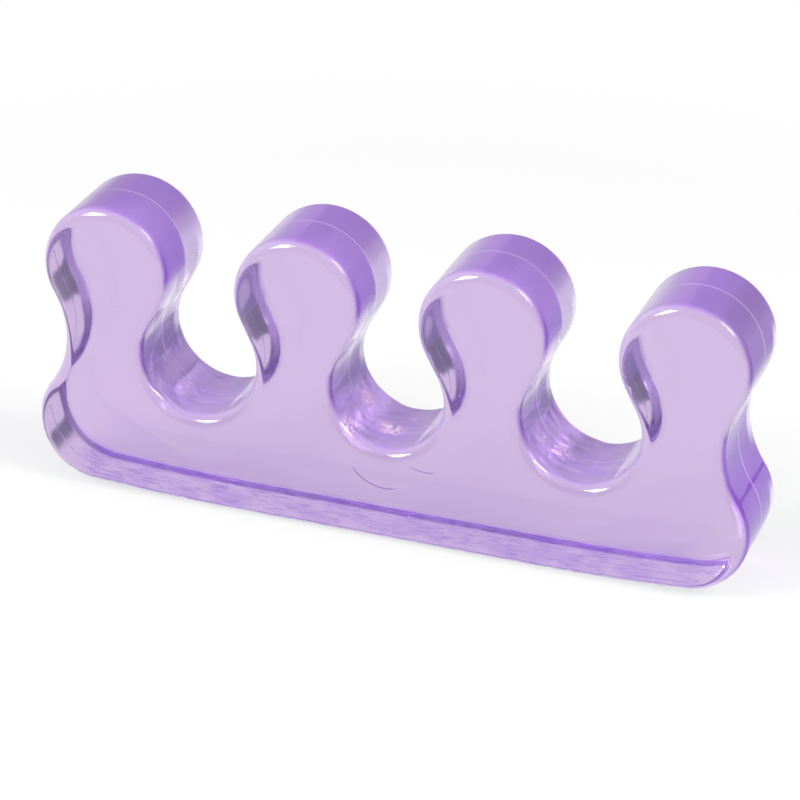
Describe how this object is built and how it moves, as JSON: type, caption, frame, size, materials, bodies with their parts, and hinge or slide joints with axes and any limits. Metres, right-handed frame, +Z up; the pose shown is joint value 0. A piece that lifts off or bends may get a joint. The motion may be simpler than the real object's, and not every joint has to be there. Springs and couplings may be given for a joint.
{
  "type": "toe separator",
  "caption": "Soft gel toe separator: a bar with round-headed posts in a row, with round open-topped beds between them for the toes.",
  "frame": {"origin": "middle of the foot, on the surface that the part stands on", "axes": "+X along the row of posts, +Y through the thickness towards the back, +Z up the posts"},
  "size_m": [0.086, 0.0136, 0.0355],
  "materials": {
    "gel": "clear, glossy, lavender-tinted moulded gel"
  },
  "bodies": {
    "root": {"toe_separator": "gel"}
  },
  "joints": []
}
